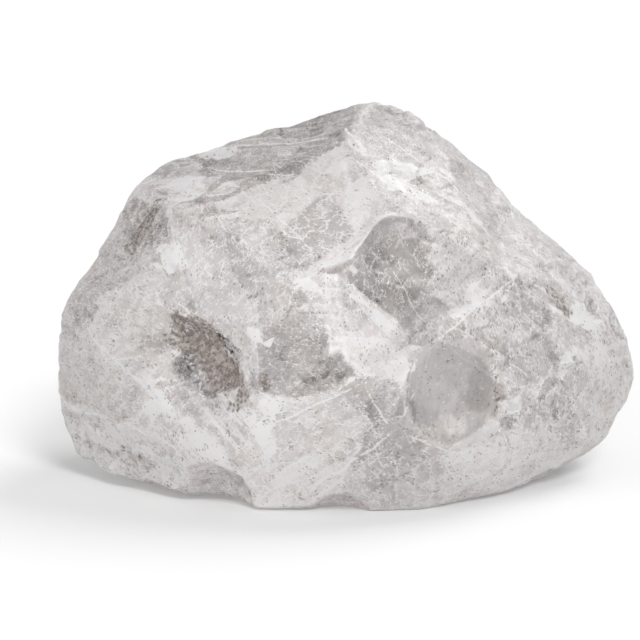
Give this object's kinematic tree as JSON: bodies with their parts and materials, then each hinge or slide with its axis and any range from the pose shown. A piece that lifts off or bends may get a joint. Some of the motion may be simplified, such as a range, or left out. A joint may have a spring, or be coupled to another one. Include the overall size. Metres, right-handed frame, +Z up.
{
  "type": "rough clear quartz chunk",
  "caption": "Broken chunk of clear quartz with flat and hollow fracture faces, a stepped sloping roof and a flat sole.",
  "frame": {"origin": "middle of the bounding box in plan, at the height of the flat sole", "axes": "+Z up from the sole, +X along the chunk's length towards its pointed end, +Y towards its back"},
  "size_m": [0.0998, 0.0644, 0.0633],
  "materials": {
    "quartz": "broken, part frosted and part glassy"
  },
  "bodies": {
    "root": {"quartz": "quartz"}
  },
  "joints": []
}
